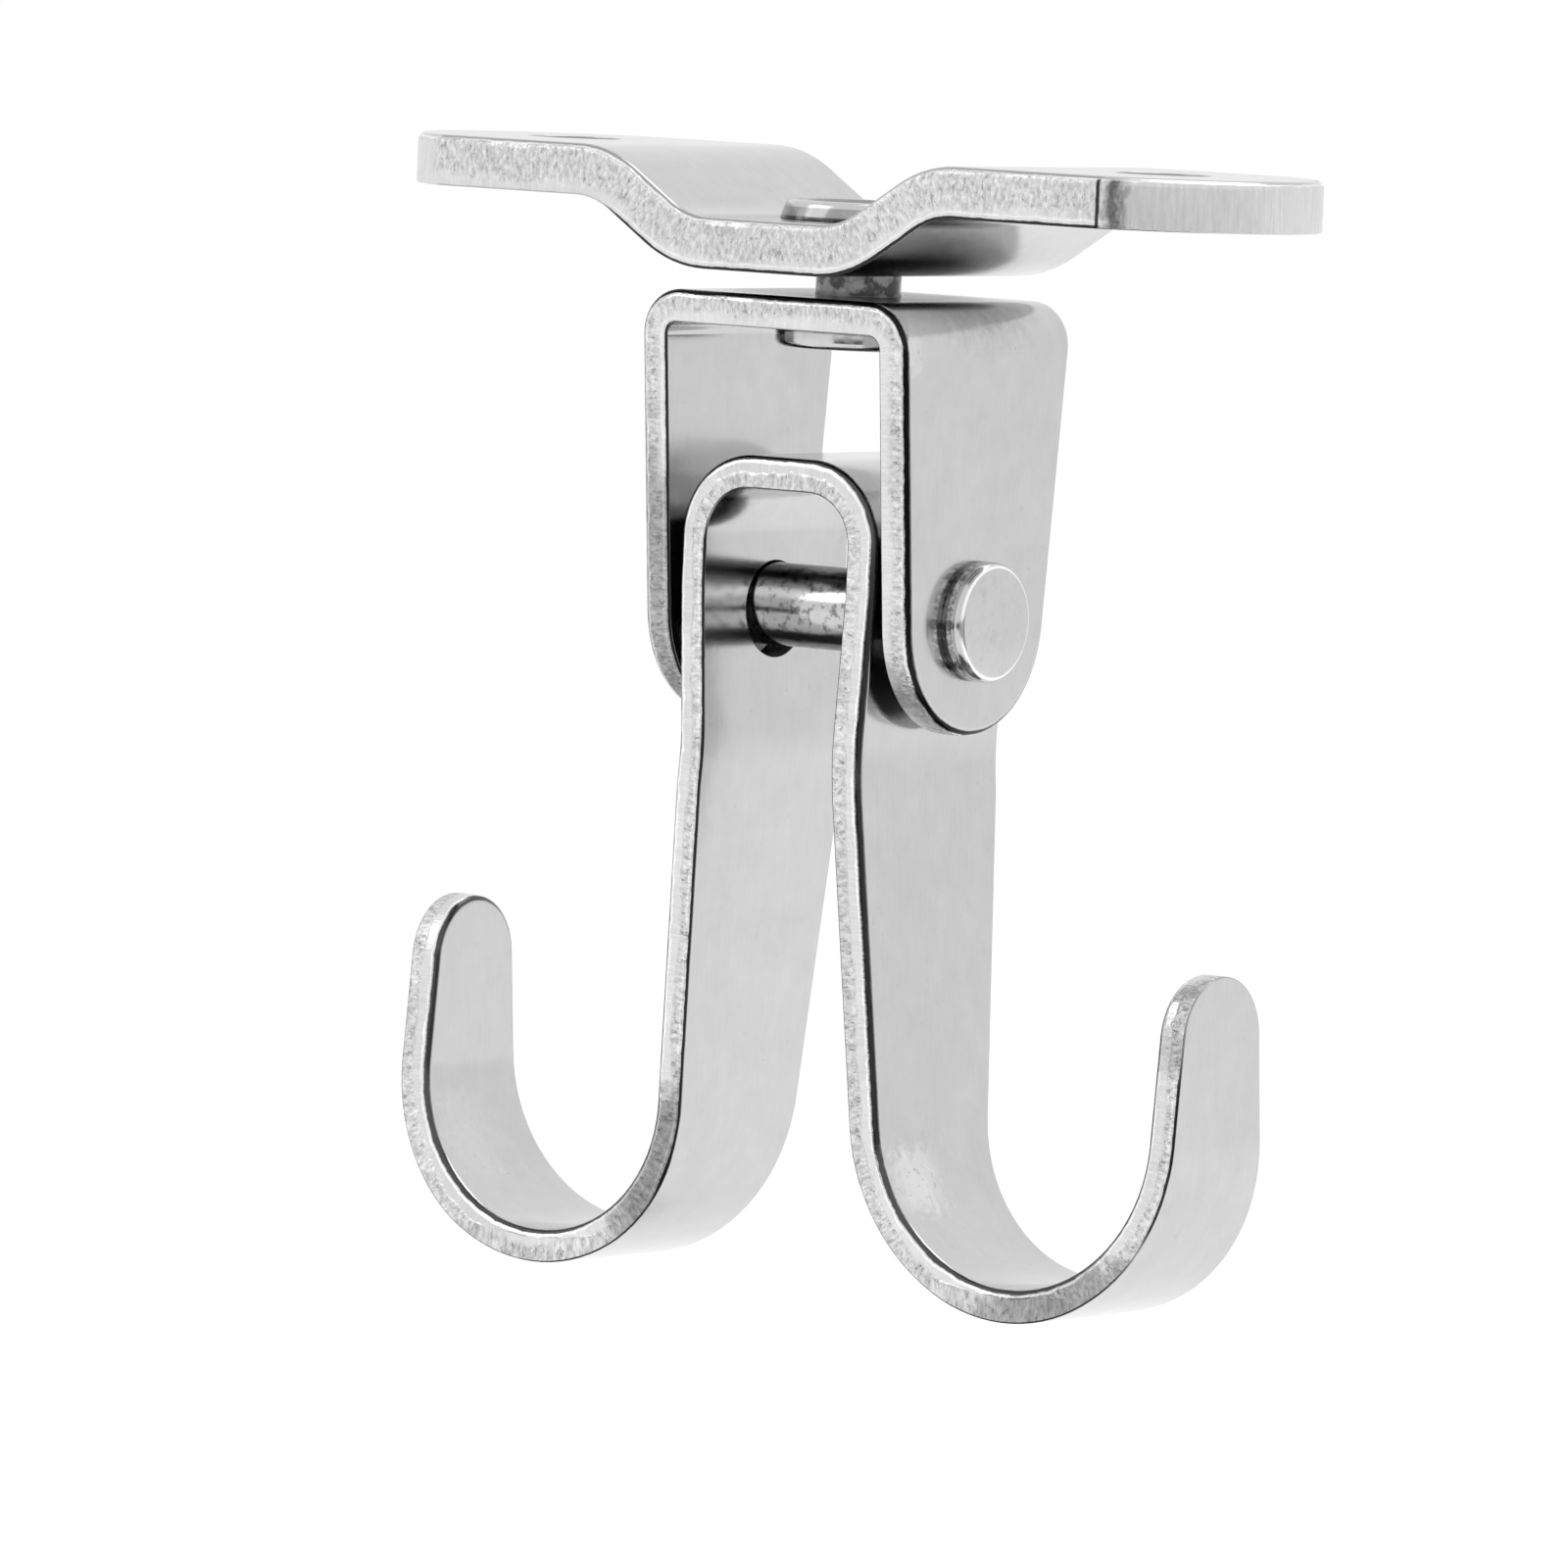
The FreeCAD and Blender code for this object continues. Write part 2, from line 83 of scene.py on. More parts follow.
# How far the middle lines run past the strips' ends, and the bracket's below the pin
OVERRUN, LEG_RUN = 1, 7

# Depth of the bands beside the plate's rolled rim, whose rounding is in the source
PLATE_RIM_BAND = 0.22

# Grey of the polished steel, and the span across a strip of its front edge's worn stretches
STEEL = 0.58
FRONT = (-8.0, -2.0)

# Sizes of the turned pieces
BARREL_RADIUS, BARREL_BORE, RIVET_HEAD, RIVET_HEAD_HEIGHT = 2.0, 1.25, 3.8, 0.9
RIVET_LEAN, RIVET_ROUND, RIVET_FLOOR = 0.3, 0.35, 1.6
VALLEY_TOP = -VALLEY_DROP
RIVET_SEAT = WEB_TOP - STRIP - RUNNING_GAP
PIN_RADIUS, PIN_HEAD, PIN_HEAD_HEIGHT, PIN_ROUND = 1.95, 2.8, 1.1, 0.4
HEAD_SEAT = BRACKET_LENGTH / 2
BREAK = 0.05
FLAT_RADIUS = 1

# Heights of the floor and of the cards' feet, and the point that the lamps face, in metres
FLOOR_HEIGHT, CARD_FOOT = -0.095, -0.094
LAMP_AIM = (0, 0, -0.028)

# Width of the camera's sensor, in millimetres, and of the photograph, in pixels
SENSOR_WIDTH, FRAME_PIXELS = 36, 1600


# Middle lines of the strips, for the grain and the bands of the cut edges
def rounded(corners, steps=24):
    """Points of straight runs through (x, z, radius) corners, in the plane Y = 0."""
    spots = [np.array(c[:2], float) for c in corners]
    points = []
    for i, (_, _, radius) in enumerate(corners):
        if not radius:
            points.append(spots[i])
            continue
        back = spots[i - 1] - spots[i]
        ahead = spots[i + 1] - spots[i]
        back, ahead = back / np.linalg.norm(back), ahead / np.linalg.norm(ahead)
        half = math.acos(np.clip(back @ ahead, -1, 1)) / 2
        inward = (back + ahead) / np.linalg.norm(back + ahead)
        centre = spots[i] + inward * radius / math.sin(half)
        first = spots[i] + back * radius / math.tan(half) - centre
        last = spots[i] + ahead * radius / math.tan(half) - centre
        start = math.atan2(first[1], first[0])
        sweep = (math.atan2(last[1], last[0]) - start + math.pi) % (2 * math.pi) - math.pi
        for k in range(steps + 1):
            angle = start + sweep * k / steps
            points.append(centre + radius * np.array([math.cos(angle), math.sin(angle)]))
    return np.array(points)


def plate_line():
    half = PLATE_THICKNESS / 2
    foot = VALLEY_FLAT / 2 + (VALLEY_BEND + half) * math.tan(RAMP_ANGLE / 2)
    head = foot + VALLEY_DROP / math.tan(RAMP_ANGLE)
    return rounded([
        (0, -VALLEY_DROP - half, 0),
        (foot, -VALLEY_DROP - half, VALLEY_BEND + half),
        (head, -half, SHOULDER_BEND - half),
        (PLATE_LENGTH / 2 + OVERRUN, -half, 0),
    ])


def bracket_line():
    half = STRIP / 2
    side = BRACKET_LENGTH / 2 - half
    return rounded([
        (0, WEB_TOP - half, 0),
        (side, WEB_TOP - half, BRACKET_BEND - half),
        (side, PIN_HEIGHT - LEG_RUN, 0),
    ])


def hook_line():
    half = STRIP / 2
    side = BRACKET_LENGTH / 2 - STRIP - SIDE_GAP - half
    top = PIN_HEIGHT + ARCH_RISE - half
    waist = np.array([side - WAIST_INSET, PIN_HEIGHT - WAIST_DROP])
    centre = np.array([BOWL_REACH, -HOOK_DEPTH + BOWL_RADIUS + STRIP])
    bowl = BOWL_RADIUS + half
    away = waist - centre
    touch = math.atan2(away[1], away[0]) + math.acos(bowl / np.linalg.norm(away))
    landing = centre + bowl * np.array([math.cos(touch), math.sin(touch)])
    upper = rounded([
        (0, top, 0),
        (side, top, ARCH_BEND - half),
        (side, PIN_HEIGHT + KNEE_RISE, LEG_BEND),
        (waist[0], waist[1], LEG_BEND),
        (landing[0], landing[1], 0),
    ])
    angles = np.linspace(touch, 2 * math.pi, 72)[1:]
    arc = centre + bowl * np.stack([np.cos(angles), np.sin(angles)], 1)
    tip = [[BOWL_REACH + bowl, -HOOK_DEPTH + TIP_RISE + OVERRUN]]
    return np.vstack([upper, arc, tip])


def strip_coordinates(places, line):
    """Along, across and through the strip, in mm. Through is positive on the line's left side."""
    flat = np.stack([np.abs(places[:, 0]), places[:, 2]], 1) / MM
    start, run = line[:-1], line[1:] - line[:-1]
    length = np.linalg.norm(run, axis=1)
    run_before = np.concatenate([[0], np.cumsum(length)[:-1]])
    offset = flat[:, None, :] - start[None]
    share = np.clip((offset * run).sum(2) / length ** 2, 0, 1)
    gap = offset - share[..., None] * run
    distance = np.linalg.norm(gap, axis=2)
    best = distance.argmin(1)
    rows = np.arange(len(flat))
    side = np.sign(run[best, 0] * gap[rows, best, 1] - run[best, 1] * gap[rows, best, 0])
    along = (run_before[best] + share[rows, best] * length[best]) * np.sign(places[:, 0])
    return np.stack([along, places[:, 1] / MM, side * distance[rows, best]], 1)


# Pieces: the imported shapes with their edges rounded
def sharp_edges(shape):
    return [
        e for e in shape.edges if len(e.link_faces) == 2 and e.calc_face_angle(0) > SHARP_ANGLE
    ]


def rolled_rims(shape, line):
    """Sharp edges of a bent strip's outline on its rolled face, without those of its bores."""
    sharp = sharp_edges(shape)
    middles = np.array([(e.verts[0].co + e.verts[1].co) / 2 for e in sharp])
    through = strip_coordinates(middles, line)[:, 2]
    bore_reach = 2.6 * MM
    from_pin = np.hypot(middles[:, 1], middles[:, 2] - PIN_HEIGHT * MM)
    from_swivel = np.hypot(middles[:, 0], middles[:, 1])
    chosen = (through > STRIP / 4) & (from_pin > bore_reach) & (from_swivel > bore_reach)
    return [e for e, pick in zip(sharp, chosen) if pick]


def round_edges(shape, edges, radius, segments):
    bmesh.ops.bevel(
        shape, geom=edges, offset=radius * MM, offset_type="OFFSET", segments=segments,
        profile=0.5, affect="EDGES", clamp_overlap=False)


def put_in_place(shape, node, name, line=None):
    """The finished shape as an object in place of the node.

    Its attribute "strip" says where a point is along, across and through the bent strip, or just
    where it is, in millimetres, for a turned piece.
    """
    mesh = bpy.data.meshes.new(name)
    shape.to_mesh(mesh)
    shape.free()
    mesh.shade_smooth()
    places = np.zeros(len(mesh.vertices) * 3, np.float32)
    mesh.vertices.foreach_get("co", places)
    low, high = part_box(node)
    places = np.clip(places.reshape(-1, 3).astype(float), low, high)
    mesh.vertices.foreach_set("co", places.astype(np.float32).ravel())
    spots = places / MM if line is None else strip_coordinates(places, line)
    strip = mesh.attributes.new("strip", "FLOAT_VECTOR", "POINT")
    strip.data.foreach_set("vector", spots.astype(np.float32).ravel())
    piece = bpy.data.objects.new(name, mesh)
    bpy.context.scene.collection.objects.link(piece)
    weighted = piece.modifiers.new("even_faces", "WEIGHTED_NORMAL")
    weighted.keep_sharp = True
    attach(piece, frame["nodes"][node]["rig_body"])
    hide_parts(node)
    return piece


def soften(node, name, line, roll=0):
    """A copy of a bent strip with rounded edges."""
    shape = bmesh.new()
    shape.from_mesh(frame["nodes"][node].data)
    bmesh.ops.remove_doubles(shape, verts=shape.verts, dist=2e-6)
    bmesh.ops.dissolve_degenerate(shape, edges=shape.edges, dist=1e-6)
    bmesh.ops.dissolve_limit(
        shape, angle_limit=math.radians(0.2), verts=shape.verts, edges=shape.edges)
    if roll:
        round_edges(shape, rolled_rims(shape, line), roll, 6)
    round_edges(shape, sharp_edges(shape), SHARP_RIM, 3)
    cut_faces = [f for f in shape.faces if len(f.verts) > 4 and abs(f.normal.y) > 0.5]
    bmesh.ops.triangulate(shape, faces=cut_faces, ngon_method="BEAUTY")
    return put_in_place(shape, node, name, line)


def turn_piece(node, name, corners, place_at, sides=96):
    """A piece turned from the (radius, place on the axis, rounding) corners of its profile."""
    shape = bmesh.new()
    rings = []
    for radius, place in rounded(corners, 6):
        angles = np.linspace(0, 2 * math.pi, sides, endpoint=False)
        spots = [place_at(radius * math.cos(a), radius * math.sin(a), place) for a in angles]
        rings.append([shape.verts.new(Vector(spot) * MM) for spot in spots])
    for ring, after in zip(rings, rings[1:]):
        for i in range(sides):
            shape.faces.new((ring[i - 1], ring[i], after[i], after[i - 1]))
    shape.faces.new(rings[0])
    shape.faces.new(rings[-1])
    bmesh.ops.recalc_face_normals(shape, faces=shape.faces)
    return put_in_place(shape, node, name)


plate = soften("ceiling_plate", "plate_strip", plate_line())
bracket = soften(
    "swivel_bracket", "bracket_strip", bracket_line(), STRIP_ROLL)
hook = soften("double_hook", "hook_strip", hook_line(), STRIP_ROLL)

rivet_lip = RIVET_HEAD - RIVET_LEAN
rivet_foot = RIVET_SEAT - RIVET_HEAD_HEIGHT
rivet_top = VALLEY_TOP + RIVET_HEAD_HEIGHT
rivet_dish = VALLEY_TOP + RIVET_HEAD_HEIGHT / 2
rivet = turn_piece("swivel_rivet", "turned_rivet", [
    (FLAT_RADIUS, rivet_foot, 0),
    (RIVET_HEAD, rivet_foot, RIVET_ROUND),
    (RIVET_HEAD, RIVET_SEAT, BREAK),
    (BARREL_RADIUS, RIVET_SEAT, BREAK),
    (BARREL_RADIUS, VALLEY_TOP, BREAK),
    (RIVET_HEAD, VALLEY_TOP, BREAK),
    (rivet_lip, rivet_top, RIVET_ROUND),
    (rivet_lip - 2 * RIVET_ROUND, rivet_top, RIVET_ROUND),
    (BARREL_RADIUS, rivet_dish, 2 * BREAK),
    (BARREL_BORE, rivet_dish, 2 * BREAK),
    (BARREL_BORE, rivet_foot + RIVET_FLOOR, BREAK),
    (FLAT_RADIUS, rivet_foot + RIVET_FLOOR, 0),
], lambda x, y, place: (x, y, place))

pin_end = HEAD_SEAT + PIN_HEAD_HEIGHT
pin = turn_piece("pivot_pin", "turned_pin", [
    (FLAT_RADIUS, -pin_end, 0),
    (PIN_HEAD, -pin_end, PIN_ROUND),
    (PIN_HEAD, -HEAD_SEAT, BREAK),
    (PIN_RADIUS, -HEAD_SEAT, BREAK),
    (PIN_RADIUS, HEAD_SEAT, BREAK),
    (PIN_HEAD, HEAD_SEAT, BREAK),
    (PIN_HEAD, pin_end, PIN_ROUND),
    (FLAT_RADIUS, pin_end, 0),
], lambda y, z, place: (place, y, z + PIN_HEIGHT))


# Materials
class Nodes:
    """Adds nodes to a material and wires them as they are made."""

    def __init__(self, name):
        self.material = bpy.data.materials.new(name)
        self.material.use_nodes = True
        self.tree = self.material.node_tree
        self.shader = self.tree.nodes["Principled BSDF"]

    def set(self, socket, value):
        if isinstance(value, bpy.types.NodeSocket):
            self.tree.links.new(value, socket)
        else:
            socket.default_value = value

    def add(self, kind, inputs, output=0, **settings):
        node = self.tree.nodes.new("ShaderNode" + kind)
        for key, value in settings.items():
            setattr(node, key, value)
        for key, value in inputs.items():
            self.set(node.inputs[key], value)
        return node.outputs[output]

    def math(self, operation, a, b=0.0):
        return self.add("Math", {0: a, 1: b}, operation=operation)

    def plus(self, *values):
        total = values[0]
        for value in values[1:]:
            total = self.math("ADD", total, value)
        return total

    def times(self, *values):
        product = values[0]
        for value in values[1:]:
            product = self.math("MULTIPLY", product, value)
        return product

    def less(self, a, b):
        return self.math("SUBTRACT", a, b)

    def swing(self, value, amount):
        """A value about 0.5 turned into one about 0, amount wide."""
        return self.times(self.less(value, 0.5), amount)

    def blend(self, share, low, high):
        """A number between two numbers."""
        return self.add("Mix", {0: share, 2: low, 3: high}, data_type="FLOAT")

    def step(self, value, low, high):
        """0 below low, 1 above high, smooth between."""
        return self.add(
            "MapRange", {"Value": value, "From Min": low, "From Max": high},
            interpolation_type="SMOOTHSTEP")

    def window(self, value, low, high, soft):
        """1 between low and high, 0 outside, with soft borders."""
        rise = self.step(value, low - soft, low + soft)
        fall = self.step(value, high + soft, high - soft)
        return self.times(rise, fall)

    def noise(self, place, scale, detail=2.0, rough=0.5, stretch=(1, 1, 1)):
        """Noise at scale blotches a millimetre."""
        spot = self.add("Mapping", {"Vector": place, "Scale": stretch})
        return self.add(
            "TexNoise", {"Vector": spot, "Scale": scale, "Detail": detail, "Roughness": rough})

    def bump(self, height, depth, normal=None):
        """A relief of depth millimetres where the height goes from 0 to 1."""
        inputs = {"Height": height, "Distance": depth * MM}
        if normal is not None:
            inputs["Normal"] = normal
        return self.add("Bump", inputs)

    def grey(self, value):
        return self.add("CombineColor", {0: value, 1: value, 2: value})


def patches(n, along, across, ragged, spots):
    """A mask of stretches of the strip: each a place, a half length, a strength and a side span."""
    mask = 0.0
    for centre, half_length, strength, low, high in spots:
        spot = n.plus(along, n.swing(ragged, 3.0))
        patch = n.window(spot, centre - half_length, centre + half_length, half_length * 0.4)
        patch = n.times(patch, n.window(n.plus(across, n.swing(ragged, 2.0)), low, high, 1.2))
        mask = n.plus(mask, n.times(patch, strength))
    return mask


def polish(n, place, rolled=(0.25, 5.0, 5.0)):
    """Grey, roughness and relief of a face that was rolled and then tumbled bright."""
    clouds = n.noise(place, 0.22, 3.0)
    mottle = n.noise(place, 0.9, 3.0, 0.6)
    grain = n.noise(place, 2.4, 4.0, 0.65, rolled)
    dents = n.step(n.noise(place, 1.7, 1.0, 0.5), 0.72, 0.80)
    pricks = n.step(n.noise(place, 4.0, 1.0, 0.5), 0.77, 0.82)
    grey = n.plus(STEEL, n.swing(clouds, 0.06), n.swing(mottle, 0.08), n.swing(grain, 0.08))
    grey = n.less(grey, n.plus(n.times(dents, 0.03), n.times(pricks, 0.12)))
    rough = n.plus(0.09, n.times(clouds, 0.08), n.times(grain, 0.05))
    height = n.plus(n.times(clouds, 6.0), n.times(mottle, 1.0), n.times(grain, 0.2))
    height = n.less(height, n.plus(n.times(dents, 1.6), n.times(pricks, 1.2)))
    return grey, rough, height


def strip_material(
        name, thickness, roll, rim_shade_depth, torn_from, torn_to, dark_rim_spans, worn=(), pressed_and_highlit=(),
        grease_and_shade=None, corner=None):
    """Polished on both faces; the cut edge is rolled, burnished and torn through its depth.

    The torn band lies between two shares of the thickness, counted from the rolled face. Worn
    stretches of it are darker and wider, and pressed stretches of the rolled face have dents from
    the bending tool under a painted highlight. Both are lists for patches(). The rim shade depth
    says how dark the painted line along the rolled rim is; a painted highlight runs beside it.
    The dark rim spans are the spans along the strip where the painted line along the edge
    opposite the rolled one is wider and darker, with a painted highlight beside it; elsewhere it
    is thin and faint. The grease and shade entry is a reach about the swivel, the side of the
    strip that it darkens and how much: painted shade between the parts, with the roughness of
    old grease. A corner is where the outline turns towards the end, with a painted dark upright
    line and painted shade beyond it at the right end.
    """
    n = Nodes(name)
    place = n.add("Attribute", {}, output=1, attribute_name="strip")
    along, across, through = (
        n.add("SeparateXYZ", {"Vector": place}, output=i) for i in range(3))
    depth = n.less(thickness / 2, through)
    rise = n.less(thickness, depth)

    wobble = n.noise(place, 1.3, 3.0, 0.6)
    drift = n.noise(place, 0.16, 2.0)
    coarse = n.noise(place, 1.8, 2.0, 0.6, (1.0, 1.0, 0.6))
    speckle = n.noise(place, 5.0, 3.0, 0.7, (1.0, 1.0, 0.5))
    grit = n.noise(place, 3.0, 3.0, 0.65)

    grey, rough, height = polish(n, place)
    # Dents from the bending tool with dark scars, under a painted highlight
    dents_and_highlight = patches(n, along, across, coarse, pressed_and_highlit)
    dents_and_highlight = n.times(dents_and_highlight, n.step(through, 0.0, 0.1))
    scars = n.step(grit, 0.60, 0.70)
    height = n.plus(height, n.times(dents_and_highlight, coarse, 8.0))
    grey = n.plus(grey, n.times(dents_and_highlight, 0.12), n.times(dents_and_highlight, scars, -0.25))

    uneven = n.times(depth, n.plus(1.0, n.swing(wobble, 0.9)))
    # Painted dark line along the rolled rim, with a painted highlight beyond it
    line = n.window(uneven, 0.03, 0.52 * roll, 0.02)
    glint = n.window(uneven, 0.65 * roll, 0.90 * roll, 0.03)
    # Painted dark line along the sharp rim, darker in the listed spans with a painted highlight
    heavy = 0.0
    for low, high in dark_rim_spans:
        heavy = n.plus(heavy, n.window(along, low, high, 1.0))
    sharp_rim_reach = n.times(rise, n.plus(1.0, n.swing(wobble, 0.9)), n.blend(heavy, 2.0, 1.0))
    sharp_rim_shade = n.window(sharp_rim_reach, 0.012, 0.15, 0.01)
    sharp_rim_shade = n.times(sharp_rim_shade, n.blend(heavy, 0.30, 0.94))
    sharp_rim_glint = n.times(n.window(sharp_rim_reach, 0.28, 0.38, 0.03), heavy)
    cut = n.times(n.step(depth, 0.35 * roll, roll), n.step(rise, 0.03, 0.08))

    worn_mask = patches(n, along, across, coarse, worn)
    border = n.plus(depth, n.swing(wobble, 0.5), n.swing(drift, 0.8))
    torn = n.step(border, torn_from * thickness - 0.10, torn_from * thickness + 0.10)
    torn = n.times(torn, n.step(border, torn_to * thickness + 0.3, torn_to * thickness - 0.3))
    torn = n.math("MAXIMUM", torn, n.step(worn_mask, 0.15, 0.40))
    if corner is not None:
        from_corner = n.less(n.math("ABSOLUTE", along), n.plus(corner, n.swing(wobble, 0.10)))
        torn = n.times(torn, n.step(from_corner, 1.0, -0.2))
        rounded_end = n.step(from_corner, -0.1, 0.3)
        line = n.times(line, n.less(1.0, n.times(rounded_end, 0.7)))
        sharp_rim_shade = n.times(sharp_rim_shade, n.less(1.0, n.times(rounded_end, 0.85)))
    pits = n.step(n.noise(place, 4.0, 3.0, 0.7, (1.0, 1.0, 0.5)), 0.58, 0.68)
    streaks = n.noise(place, 1.0, 3.0, 0.6, (7.0, 7.0, 0.6))

    torn_grey = n.plus(0.605, n.swing(speckle, 1.1), n.swing(coarse, 0.15), n.times(pits, -0.16))
    torn_grey = n.times(torn_grey, n.less(1.0, worn_mask))
    smooth_grey = n.plus(0.68, n.swing(streaks, 0.24), n.swing(coarse, 0.10))
    cut_grey = n.plus(n.blend(torn, smooth_grey, torn_grey), n.swing(drift, 0.16))
    cut_rough = n.blend(torn, 0.26, 0.40)
    torn_height = n.plus(n.times(speckle, 1.0), n.times(coarse, 1.0), n.times(pits, -0.6))
    cut_height = n.blend(torn, n.times(streaks, 0.5), torn_height)

    # Painted shade about the swivel where the parts overlap, with the roughness of grease
    if grease_and_shade is not None:
        reach, side, strength = grease_and_shade
        from_swivel = n.math("SQRT", n.plus(n.times(along, along), n.times(across, across)))
        grease_shade = n.step(n.plus(from_swivel, n.swing(coarse, 2.0)), reach, reach * 0.45)
        grease_shade = n.times(grease_shade, n.step(n.times(through, side), 0.0, 0.2))
        grey = n.times(grey, n.less(1.0, n.times(grease_shade, strength)))
        rough = n.plus(rough, n.times(grease_shade, 0.08))

    base = n.blend(cut, grey, cut_grey)
    # The painted dark lines along both rims darken the base colour, their painted highlights
    # lighten it
    base = n.times(base, n.less(1.0, n.times(line, rim_shade_depth)), n.less(1.0, sharp_rim_shade))
    base = n.plus(base, n.times(glint, 0.25), n.times(sharp_rim_glint, 0.12))
    # Painted dark line at the end's corner and painted shade beyond it
    if corner is not None:
        outline = n.step(n.math("ABSOLUTE", across), 3.0, 4.0)
        right_end = n.times(cut, n.step(along, -1.0, 1.0), outline)
        corner_shade_line = n.times(n.window(from_corner, -0.09, 0.09, 0.03), right_end)
        past_corner = n.plus(from_corner, n.swing(coarse, 1.2))
        shade = n.times(n.window(past_corner, 0.35, 1.05, 0.25), right_end)
        base = n.times(base, n.less(1.0, n.times(corner_shade_line, 0.92)))
        base = n.times(base, n.less(1.0, n.times(shade, n.plus(0.3, speckle), 0.85)))
    n.set(n.shader.inputs["Base Color"], n.grey(base))
    n.set(n.shader.inputs["Roughness"], n.blend(cut, rough, cut_rough))
    n.shader.inputs["Metallic"].default_value = 1.0
    fine = n.bump(height, 0.0012)
    n.set(n.shader.inputs["Normal"], n.bump(n.times(cut_height, cut), 0.05, fine))
    return n.material


def turned_material(name, turned_about_x, worn, gritty, grease_and_shade, shaded_shank=None, shaded_dish=None):
    """A turned and polished piece: scuffs, grit and painted shade in spans along its axis.

    Spans are counted away from the middle for a piece turned about X, and upwards for one turned
    about Z. Worn is how much the scuffs roughen it. The darkened spans are painted shade, in
    blotches, where the piece meets other parts. The shaded shank length is the half length of a
    shank with painted shade above and below, grime, and a painted highlight along a line above
    its middle. The shaded dish is the radius of painted shade in the hollow above the valley.
    """
    n = Nodes(name)
    place = n.add("Attribute", {}, output=1, attribute_name="strip")
    x, y, z = (n.add("SeparateXYZ", {"Vector": place}, output=i) for i in range(3))
    along = n.math("ABSOLUTE", x) if turned_about_x else z
    grey, rough, height = polish(n, place, (1, 1, 1))
    wear = n.step(n.noise(place, 1.4, 4.0, 0.7), 0.5, 0.72)
    grit = n.noise(place, 4.0, 3.0, 0.7)
    base = n.plus(grey, n.times(wear, -0.05))
    for low, high in gritty:
        zone = n.window(along, low, high, 0.05)
        base = n.plus(base, n.times(zone, n.swing(grit, 1.8)), n.times(zone, -0.10))
        height = n.plus(height, n.times(zone, grit, 12.0))
    blotches = n.step(n.noise(place, 1.2, 3.0, 0.6), 0.38, 0.62)
    # Painted shade, in blotches, where the piece meets other parts
    for low, high, strength in grease_and_shade:
        grease_shade = n.times(n.window(along, low, high, 0.04), strength)
        base = n.times(base, n.less(1.0, n.times(grease_shade, n.plus(0.62, n.times(blotches, 0.38)))))
    # Painted shade above and below the shank and a painted highlight along it; the grime is dirt
    if shaded_shank is not None:
        off_axis = n.math("ABSOLUTE", n.less(z, PIN_HEIGHT))
        shank = n.step(along, shaded_shank + 0.2, shaded_shank - 0.2)
        shank_shade = n.times(n.step(off_axis, 0.7, 1.5), shank)
        grime = n.times(n.step(n.noise(place, 2.2, 3.0, 0.65), 0.50, 0.66), shank)
        shank_highlight = n.times(n.window(n.less(z, PIN_HEIGHT), 0.45, 0.85, 0.15), shank)
        base = n.times(base, n.less(1.0, n.times(shank_shade, 0.7)), n.less(1.0, n.times(grime, 0.6)))
        base = n.plus(base, n.times(shank_highlight, 0.36))
        # Painted highlight round the rim of the head's end face
        radius = n.math("SQRT", n.plus(n.times(y, y), n.times(off_axis, off_axis)))
        rim_highlight = n.window(radius, PIN_HEAD - 0.26, PIN_HEAD - 0.12, 0.03)
        rim_highlight = n.times(rim_highlight, n.step(along, pin_end - 0.15, pin_end - 0.05))
        base = n.plus(base, n.times(rim_highlight, 0.4))
    # Painted shade in the hollow of the rivet's head
    if shaded_dish is not None:
        radius = n.math("SQRT", n.plus(n.times(x, x), n.times(y, y)))
        dish_shade = n.step(radius, shaded_dish, shaded_dish - 0.25)
        dish_shade = n.times(dish_shade, n.step(z, VALLEY_TOP, VALLEY_TOP + 0.2))
        base = n.times(base, n.less(1.0, n.times(dish_shade, 0.5)))
    n.set(n.shader.inputs["Base Color"], n.grey(n.math("MAXIMUM", base, 0.06)))
    n.set(n.shader.inputs["Roughness"], n.plus(rough, n.times(wear, worn)))
    n.shader.inputs["Metallic"].default_value = 1.0
    n.set(n.shader.inputs["Normal"], n.bump(height, 0.0015))
    return n.material


def dress(piece, material):
    piece.data.materials.clear()
    piece.data.materials.append(material)


end_radius = PLATE_WIDTH / 2 + PLATE_END_MARGIN
end_reach = math.sqrt(end_radius ** 2 - PLATE_WIDTH ** 2 / 4)
corner_x = PLATE_LENGTH / 2 - end_radius + end_reach
corner_spot = np.array([[corner_x, 0, -PLATE_THICKNESS / 2]]) * MM
plate_corner = float(strip_coordinates(corner_spot, plate_line())[0, 0])

dress(plate, strip_material(
    "plate_steel_look", PLATE_THICKNESS, PLATE_RIM_BAND, rim_shade_depth=0.40,
    torn_from=0.07, torn_to=0.78, dark_rim_spans=[(-9.0, 21.0)],
    grease_and_shade=(9.5, -1.0, 0.28), corner=plate_corner))
dress(bracket, strip_material(
    "bracket_steel_look", STRIP, STRIP_ROLL, rim_shade_depth=0.97,
    torn_from=0.15, torn_to=0.66, dark_rim_spans=[(-26.0, -6.0)],
    worn=[(-19.0, 6.0, 0.40, *FRONT), (12.0, 2.0, 0.08, *FRONT)],
    pressed_and_highlit=[(7.6, 0.8, 1.0, -7.0, -5.6)], grease_and_shade=(8.5, 1.0, 0.8)))
dress(hook, strip_material(
    "hook_steel_look", STRIP, STRIP_ROLL, rim_shade_depth=0.85,
    torn_from=0.52, torn_to=1.5, dark_rim_spans=[(-38.0, -6.0), (54.0, 62.0)],
    worn=[(-36.5, 4.0, 0.50, *FRONT), (48.5, 4.0, 0.42, *FRONT), (63.5, 2.0, 0.30, *FRONT)],
    pressed_and_highlit=[(36.5, 1.6, 1.2, -3.6, -0.6), (-54.0, 2.5, 0.3, -3.0, 0.0)]))
